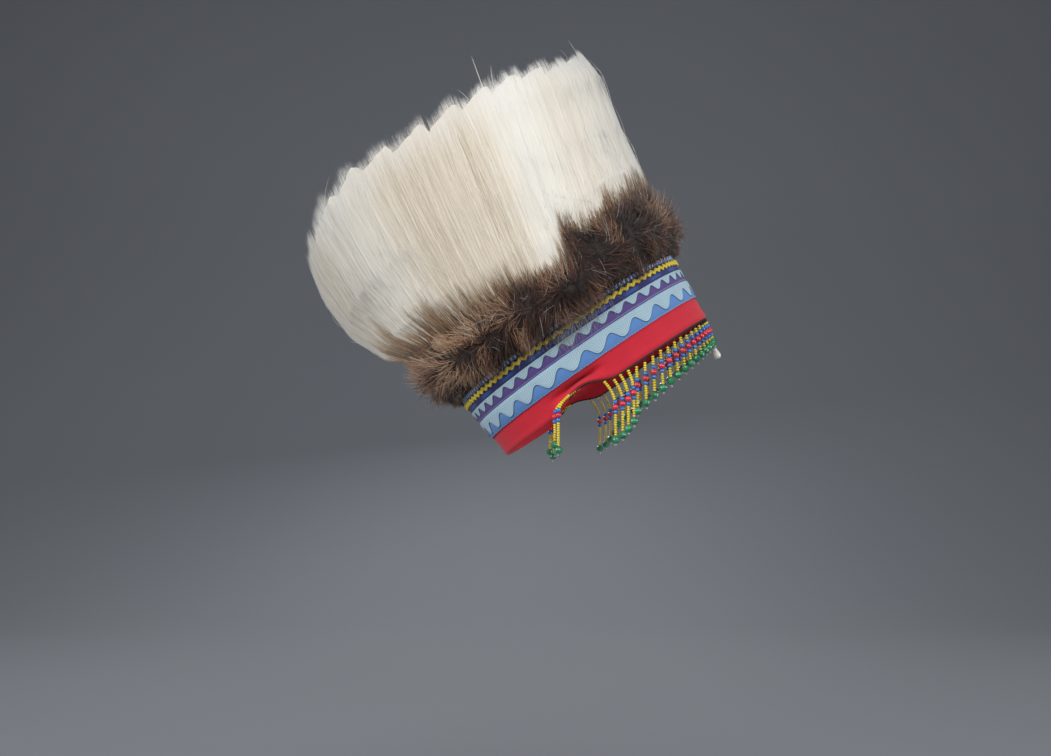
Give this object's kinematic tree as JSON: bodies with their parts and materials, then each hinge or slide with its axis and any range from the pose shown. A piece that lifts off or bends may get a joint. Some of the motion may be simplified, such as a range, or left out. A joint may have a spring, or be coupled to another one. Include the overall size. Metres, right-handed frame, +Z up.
{
  "type": "fur headdress",
  "caption": "Tall headdress: red cloth headband with wavy ribbons, a brown fur roll, an upright ring of long white hair and a bead fringe across the forehead.",
  "frame": {"origin": "middle of the oval rim, where the headdress sits on the head", "axes": "+Z up, +X the way the wearer faces, +Y the wearer's left; the rim leans back 34.5 degrees, as worn"},
  "size_m": [0.3305, 0.242, 0.3346],
  "materials": {
    "red_cloth": "red brushed cotton cloth",
    "blue_ribbon": "woven ribbon, mid-blue with a light-blue wave",
    "purple_ribbon": "woven ribbon, purple with a light-blue wave",
    "navy_ribbon": "woven ribbon, navy and blue",
    "zigzag_ribbon": "narrow woven ribbon, blue with a light zigzag",
    "yellow_braid": "yellow cotton rick-rack braid",
    "brown_fur": "short dark brown fur with paler guard hairs",
    "white_hair": "long straight cream-white hair",
    "glass_beads": "glossy coloured glass beads on black thread",
    "bone": "smooth white bone"
  },
  "bodies": {
    "root": {"headband": "red_cloth", "blue_wave_ribbon": "blue_ribbon", "purple_wave_ribbon": "purple_ribbon", "navy_ribbon": "navy_ribbon", "yellow_rickrack": "yellow_braid", "blue_zigzag_ribbon": "zigzag_ribbon", "brown_fur_roll": "brown_fur", "white_hair_crest": "white_hair", "bead_fringe": "glass_beads", "forehead_drop": "bone"}
  },
  "joints": []
}
